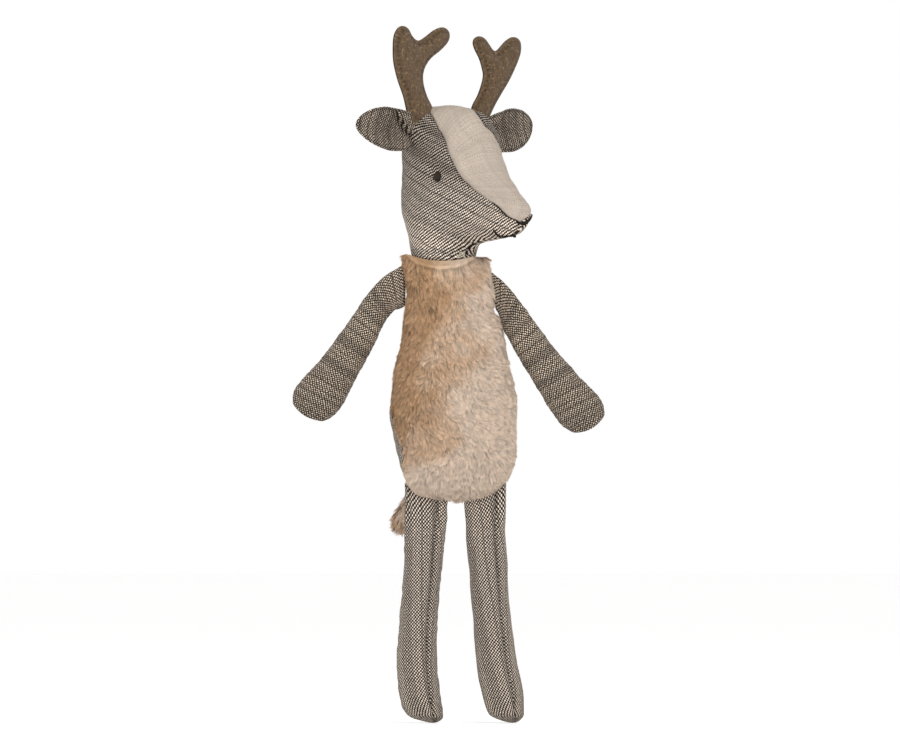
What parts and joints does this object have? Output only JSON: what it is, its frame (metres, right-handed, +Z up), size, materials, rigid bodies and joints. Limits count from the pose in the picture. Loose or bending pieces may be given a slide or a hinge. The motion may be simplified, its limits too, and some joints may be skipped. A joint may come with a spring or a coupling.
{
  "type": "plush deer",
  "caption": "Upright stuffed cloth deer with a tweed body, fur chest, turned head, felt antlers, cupped ears and soft swinging arms and legs.",
  "frame": {"origin": "bottom centre of the bounding box: the floor under the toes, with the toy hanging upright", "axes": "+Z up, -Y the way the chest faces (towards the camera), +X the toy's own left; +Y is the outward normal of the flat on the back"},
  "size_m": [0.1412, 0.0784, 0.3135],
  "materials": {
    "tweed": "coarse plain-weave tweed in dark brown and ecru yarns",
    "fur_cloth": "short tan plush fur cloth, pile about 6 mm",
    "linen": "fine beige-pink linen",
    "felt": "brown heathered wool felt with stitched edges",
    "stuffing": "loose fibre stuffing inside the covers",
    "thread": "dark brown embroidery thread"
  },
  "bodies": {
    "torso": {"torso_front_fur": "fur_cloth", "torso_back": "tweed", "torso_stuffing": "stuffing"},
    "tail": {"tail_fur": "fur_cloth"},
    "neck": {"neck_stuffing": "stuffing"},
    "head": {"head_side_right": "tweed", "head_side_left": "tweed", "face_blaze": "linen", "head_stuffing": "stuffing", "eye_right": "thread", "eye_left": "thread", "nose_stitch": "thread", "mouth_stitch": "thread", "antler_right_front": "felt", "antler_right_back": "felt", "antler_right_stuffing": "stuffing", "antler_left_front": "felt", "antler_left_back": "felt", "antler_left_stuffing": "stuffing"},
    "ear_right": {"ear_right_front": "tweed", "ear_right_back": "tweed"},
    "ear_left": {"ear_left_front": "tweed", "ear_left_back": "tweed"},
    "arm_right": {"arm_right_front": "tweed", "arm_right_back": "tweed", "arm_right_stuffing": "stuffing"},
    "leg_right": {"leg_right_outer": "tweed", "leg_right_inner": "tweed", "leg_right_stuffing": "stuffing"},
    "arm_left": {"arm_left_front": "tweed", "arm_left_back": "tweed", "arm_left_stuffing": "stuffing"},
    "leg_left": {"leg_left_outer": "tweed", "leg_left_inner": "tweed", "leg_left_stuffing": "stuffing"}
  },
  "joints": [
    {"name": "neck_nod", "type": "hinge", "parent": "torso", "child": "neck", "pos_m": [-0.0019, 0.0033, 0.2206], "axis": [1, 0, 0], "range_deg": [-25, 12]},
    {"name": "head_turn", "type": "hinge", "parent": "neck", "child": "head", "pos_m": [-0.0019, 0.0033, 0.2206], "axis": [0, 0, 1], "range_deg": [-90, 30]},
    {"name": "ear_right_flop", "type": "hinge", "parent": "head", "child": "ear_right", "pos_m": [-0.01654, -0.01123, 0.2638], "axis": [0, 0, 1], "range_deg": [-20, 10], "stiffness_Nm_per_rad": 0.003},
    {"name": "ear_left_flop", "type": "hinge", "parent": "head", "child": "ear_left", "pos_m": [0.01408, 0.01634, 0.2638], "axis": [0, 0, -1], "range_deg": [-20, 10], "stiffness_Nm_per_rad": 0.003},
    {"name": "arm_right_swing", "type": "hinge", "parent": "torso", "child": "arm_right", "pos_m": [-0.0212, 0.0033, 0.1978], "axis": [0, 0, 1], "range_deg": [-50, 65]},
    {"name": "arm_left_swing", "type": "hinge", "parent": "torso", "child": "arm_left", "pos_m": [0.0216, 0.0033, 0.1955], "axis": [0.2079, 0, -0.9781], "range_deg": [-50, 65]},
    {"name": "leg_right_swing", "type": "hinge", "parent": "torso", "child": "leg_right", "pos_m": [-0.0096, 0.0033, 0.1015], "axis": [-1, 0, 0], "range_deg": [-30, 80]},
    {"name": "leg_left_swing", "type": "hinge", "parent": "torso", "child": "leg_left", "pos_m": [0.0168, 0.0033, 0.1015], "axis": [-1, 0, 0], "range_deg": [-30, 80]},
    {"name": "tail_flop", "type": "hinge", "parent": "torso", "child": "tail", "pos_m": [-0.0024, 0.0187, 0.115], "axis": [1, 0, 0], "range_deg": [-5, 25], "stiffness_Nm_per_rad": 0.003}
  ]
}
